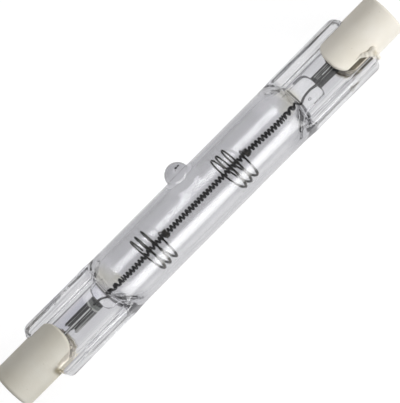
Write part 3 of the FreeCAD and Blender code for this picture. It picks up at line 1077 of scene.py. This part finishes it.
def makeLead(d, name, material):
    low, high = nodeBox("outer_lead_" + name)
    radius = (high.y - low.y) / 2
    axis = (low + high) / 2

    def place(number, ring):
        x = mix(low.x, high.x, ring / (d["rings"] - 1))
        toEnd = min(x - low.x, high.x - x)
        rounded = 1 - 0.5 * (1 - smoothStep(toEnd / d["endRound"] / 2))
        turn = fullTurn * number / d["sides"]
        return Vector((x, axis.y + radius * rounded * math.cos(turn), radius * rounded * math.sin(turn)))

    mesh = toMesh("lead", ringTube(d["sides"], d["rings"], place))
    return addPiece(f"outer_lead_{name}_wire", mesh, material, "outer_lead_" + name)


leadMetal = makeLeadMaterial(lead)
for sideName in sides:
    makeLead(lead, sideName, leadMetal)
print("leads laid")


# ceramic caps, cement and contacts

slotFloor = nodeBox("cement_right")[1].x
capRadius = nodeBox("cement_right")[1].y


# a solid's copy and what is added to it, melted into one soft-edged skin
def meltedCopy(name, nodeName, values, extra):
    bm = bmesh.new()
    bm.from_mesh(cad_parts[nodeName].data)
    bmesh.ops.remove_doubles(bm, verts=bm.verts, dist=1e-7)
    bm.from_mesh(extra)
    mesh = plainMesh(name, bm)
    result = evaluatedMesh(name, mesh, (
        ("cells", "REMESH", {"mode": "VOXEL", "voxel_size": values["voxel"] * mm}),
        ("soften", "SMOOTH", {"factor": 0.5, "iterations": values["smoothing"]})))
    bpy.data.meshes.remove(mesh)
    bpy.data.meshes.remove(extra)
    return result


def addBalls(bm, balls, fineness):
    for place, radius in balls:
        spot = Matrix.Translation(place)
        bmesh.ops.create_icosphere(bm, subdivisions=fineness, radius=radius, matrix=spot)


ceramic = {
    "voxel": 0.11,
    "smoothing": 14,
    "stainAndShade": {"left": (0.46, 0.42, 0.33), "right": (0.13, 0.105, 0.065)},  # stain with painted shade on the slot's walls, darkest on the right
    "stainShadeTop": (2.26, 2.18),
    "stainShadeSide": (3.5, 3.2),
    "stainShadeRun": 0.4,
    "plug": {"left": 1.9, "right": 0.0},  # length of the slot's root that is smoothed over
    "plugSunk": 0.3,
    "smears": {  # cement wiped along the tongue's edge: place and radius
        "left": (
            ((-30.3, -2.4, 2.0), 0.5), ((-31.0, -2.5, 1.9), 0.6), ((-31.6, -2.6, 1.65), 0.7),
            ((-32.1, -2.55, 1.35), 0.85)),
        "right": (),
    },
    "shade": {  # painted shade by the tongue's root: place, size and colour
        "left": ((-32.1, -3.5), (0.9, 0.6), (0.3, 0.27, 0.2)),
        "right": ((33.4, -3.9), (0.5, 0.5), (0.8, 0.77, 0.7)),
    },
}


# darkens a soft patch as painted shade
def addShade(tree, coords, clean, place, size, colour):
    dirtAndShade = plotMask(tree, coords, place, size, 1.0, 0.2)
    return mixColours(tree, "MULTIPLY", dirtAndShade, clean, (*colour, 1.0))


def capMesh(c, name):
    bm = bmesh.new()
    addBalls(bm, c["smears"][name], 3)
    plug = c["plug"][name]
    if plug:
        spot = Vector((sides[name] * (slotFloor + c["plugSunk"] - plug / 2), 0, 0))
        lying = Matrix.Translation(spot) @ Matrix.Rotation(quarterTurn, 4, "Y")
        bmesh.ops.create_cone(bm, cap_ends=True, segments=96, radius1=capRadius, radius2=capRadius,
                              depth=plug, matrix=lying)
    return meltedCopy("cap", "ceramic_cap_" + name, c, toMesh("wiped", bm))


def makeCeramicMaterial(c, name):
    material, tree, shader, coords = startMaterial("pressedCeramic_" + name)
    clean = useGroup(tree, pressedToneGroup, coords)
    axes = splitAxes(tree, coords)
    inSlot = rangeMask(tree, calculate(tree, "ABSOLUTE", axes["Z"]), *c["stainShadeTop"])
    besideTongue = rangeMask(tree, calculate(tree, "ABSOLUTE", axes["Y"]), *c["stainShadeSide"])
    root = slotFloor - c["plug"][name]
    inner = rangeMask(tree, axes["X"], sides[name] * root, sides[name] * (root - c["stainShadeRun"]))
    # the slot's walls get a stain with painted shade in it, where little light reaches
    walls = combine(tree, "MULTIPLY", inSlot, inner, besideTongue)
    stainedAndShaded = mixColours(tree, "MIX", walls, clean, (*c["stainAndShade"][name], 1.0))
    grain = useGroup(tree, mottleGroup, coords, Scale=4200.0)
    setInputs(tree, shader, {
        "Base Color": addShade(tree, coords, stainedAndShaded, *c["shade"][name]),
        "Roughness": useGroup(tree, mottleGroup, coords, Scale=600.0, Low=0.62, High=0.8),
        "Specular IOR Level": 0.35, "Normal": addBump(tree, grain, 0.25, 0.03)})
    return material


for sideName in sides:
    ceramicBody = makeCeramicMaterial(ceramic, sideName)
    capPiece = addPiece(f"ceramic_cap_{sideName}_body", capMesh(ceramic, sideName), ceramicBody,
                        "ceramic_cap_" + sideName)
    print("cap", sideName, len(capPiece.data.polygons), "faces")


cement = {
    "voxel": 0.11,
    "smoothing": 3,
    "rough": 0.06,
    "roughFrom": 1.2,  # only its upper side is rough
    "roughRun": 0.4,
    "sunk": 0.08,  # below the cap's surface
    "lumps": {  # squeezed out beside the upper tongue: place and radius
        "left": (((-28.4, -2.4, 1.6), 0.3), ((-29.3, -2.6, 1.7), 0.3)),
        "right": (
            ((30.9, -2.6, 2.4), 0.26), ((31.4, -2.65, 2.4), 0.32), ((31.9, -2.8, 2.35), 0.4),
            ((32.3, -3.1, 2.25), 0.46), ((32.9, -3.4, 2.1), 0.5), ((33.3, -3.7, 1.9), 0.5),
            ((33.5, -4.1, 1.6), 0.4), ((33.4, -4.5, 1.2), 0.36), ((33.6, -3.3, 2.1), 0.5)),
    },
    "inner": {  # the darkest and the palest of what shows through the quartz: the cement's brown with painted shade
        "left": ((0.40, 0.37, 0.31), (0.56, 0.52, 0.45)),
        "right": ((0.05, 0.042, 0.025), (0.12, 0.10, 0.065)),
    },
    "top": (2.15, 2.35),  # where it comes out over the pinch
    "end": (0.5, 0.2),  # and before the pinch's end
    "ribSide": (3.3, 3.6),
    "underRib": {"left": 0.2, "right": 1.0},  # how pale it is where the near rib's wall shows it
    "lowFlank": (1.55, 1.3, 0.35),
}


def cementMesh(c, name):
    bm = bmesh.new()
    addBalls(bm, c["lumps"][name], 2)
    mesh = meltedCopy("cement", "cement_" + name, c, toMesh("lumps", bm))
    normals = [vert.normal.copy() for vert in mesh.vertices]
    for vert, normal in zip(mesh.vertices, normals):
        apart = math.hypot(vert.co.y, vert.co.z)
        if capRadius - c["sunk"] < apart / mm < capRadius + c["sunk"]:
            vert.co.yz *= (capRadius - c["sunk"]) * mm / apart
        spot = vert.co / mm
        loose = smoothStep((spot.z - c["roughFrom"]) / c["roughRun"])
        lumpy = noise.noise(spot * 1.9) + 0.5 * noise.noise(spot * 4.3)
        vert.co += normal * lumpy * c["rough"] * loose * mm
    return mesh


# like the ceramic where it has squeezed out, darker where it shows through the quartz, where painted shade
# darkens its brown
def makeCementMaterial(c, name):
    material, tree, shader, coords = startMaterial("dryCement_" + name)
    # the cement's brown, darkened by painted shade where it shows through the quartz
    inner = cloudColour(tree, coords, 700.0, *c["inner"][name])
    outer = useGroup(tree, pressedToneGroup, coords)
    axes = splitAxes(tree, coords)
    pinchStop = (quartzLow if name == "left" else quartzHigh).x
    ends = [pinchStop - sides[name] * before for before in c["end"]]
    across = calculate(tree, "ABSOLUTE", axes["Y"])
    out = combine(
        tree, "MAXIMUM",
        rangeMask(tree, axes["Z"], *c["top"]),
        rangeMask(tree, axes["X"], *ends),
        rangeMask(tree, across, *c["ribSide"], c["underRib"][name]),
        rangeMask(tree, axes["Z"], *c["lowFlank"]))
    colour = mixColours(tree, "MIX", out, inner, outer)
    grain = useGroup(tree, mottleGroup, coords, Scale=3000.0)
    setInputs(tree, shader, {
        "Base Color": addShade(tree, coords, colour, *ceramic["shade"][name]), "Roughness": 0.8,
        "Specular IOR Level": 0.35, "Normal": addBump(tree, grain, 0.3, 0.05)})
    return material


for sideName in sides:
    cementBody = makeCementMaterial(cement, sideName)
    addPiece(f"cement_{sideName}_fill", cementMesh(cement, sideName), cementBody,
             "cement_" + sideName)
print("cement filled")


def makeContactMaterial():
    material, tree, shader, coords = startMaterial("platedContact")
    setInputs(tree, shader, {
        "Base Color": cloudColour(tree, coords, 900.0, (0.46, 0.45, 0.42), (0.66, 0.65, 0.62)),
        "Metallic": 1.0,
        "Roughness": useGroup(tree, mottleGroup, coords, Scale=1400.0, Low=0.25, High=0.45)})
    return material


contactMetal = makeContactMaterial()
for sideName in sides:
    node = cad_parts["contact_" + sideName]
    node.data.materials.clear()
    node.data.materials.append(contactMetal)
print("contacts plated")


# floor, world and lamps

floor = {"size": 6.0, "colour": 0.9, "glow": 0.85, "shown": 0.25}


# white where it is seen, with the lamp's shadow on it, and pale where it only throws light back
def addFloor(f):
    bm = bmesh.new()
    bmesh.ops.create_grid(bm, x_segments=1, y_segments=1, size=f["size"] / 2)
    bmesh.ops.translate(bm, vec=(0, 0, floorHeight), verts=bm.verts)
    mesh = plainMesh("paleFloor", bm)
    material = bpy.data.materials.new("paleFloor")
    material.use_nodes = True
    tree = material.node_tree
    tree.nodes.remove(tree.nodes["Principled BSDF"])
    plain = plainShader(tree, "ShaderNodeBsdfDiffuse", grey(f["colour"]))
    glow = addNode(tree, "ShaderNodeEmission")
    join(tree, f["glow"], glow.inputs["Strength"])
    shown = addNode(tree, "ShaderNodeAddShader")
    shadowed = plainShader(tree, "ShaderNodeBsdfDiffuse", grey(f["shown"]))
    setInputs(tree, shown, {0: shadowed, 1: glow.outputs["Emission"]})
    path = addNode(tree, "ShaderNodeLightPath").outputs
    ways = ("Is Camera Ray", "Is Glossy Ray", "Is Transmission Ray")
    seen = combine(tree, "MAXIMUM", *[path[way] for way in ways])
    surface = chooseShader(tree, seen, plain, shown.outputs["Shader"])
    join(tree, surface, tree.nodes["Material Output"].inputs["Surface"])
    mesh.materials.append(material)
    ground = bpy.data.objects.new("paleFloor", mesh)
    scene.collection.objects.link(ground)


addFloor(floor)

room = {"colour": (0.62, 0.62, 0.64), "strength": 0.55}
world = bpy.data.worlds.new("softRoom")
world.use_nodes = True
background = world.node_tree.nodes["Background"]
setInputs(world.node_tree, background, {"Color": (*room["colour"], 1.0), "Strength": room["strength"]})
scene.world = world

lamps = {
    "sideSoftbox": {
        "place": (0.22, -0.31, 0.13), "size": (0.5, 0.2), "power": 2.75, "lights": True, "mirrored": 0},
    "topSoftbox": {
        "place": (0.08, 0.18, 0.56), "size": (0.6, 0.5), "power": 1.75, "lights": True, "mirrored": 9},
    "bandCard": {
        "place": (0.0, -0.0239, 0.0117), "size": (0.12, 0.022), "power": 0.08, "lights": False,
        "mirrored": 1},
}
lampFade = (0.5, 0.15)  # from a lamp's rim towards its middle, as shares of its face


# a softbox whose face fades towards its rim, and which shows only in so many mirrorings one after another
def addLamp(name, d):
    data = bpy.data.lights.new(name, "AREA")
    data.shape = "RECTANGLE"
    data.size, data.size_y = d["size"]
    data.energy = d["power"]
    data.use_nodes = True
    tree = data.node_tree
    axes = splitAxes(tree, addNode(tree, "ShaderNodeNewGeometry").outputs["Parametric"])
    depth = addNode(tree, "ShaderNodeLightPath").outputs["Glossy Depth"]
    level = calculate(tree, "LESS_THAN", depth, d["mirrored"] + 0.5)
    for label in ("X", "Y"):
        apart = calculate(tree, "ABSOLUTE", calculate(tree, "SUBTRACT", axes[label], 0.5))
        level = calculate(tree, "MULTIPLY", level, mapRange(tree, apart, *lampFade))
    join(tree, level, tree.nodes["Emission"].inputs["Strength"])
    body = bpy.data.objects.new(name, data)
    body.location = d["place"]
    body.rotation_euler = (-Vector(d["place"])).to_track_quat("-Z", "Y").to_euler()
    body.visible_diffuse = d["lights"]
    body.visible_glossy = d["mirrored"] > 0
    scene.collection.objects.link(body)


for lampName, lampValues in lamps.items():
    addLamp(lampName, lampValues)
print("floor and lamps placed")
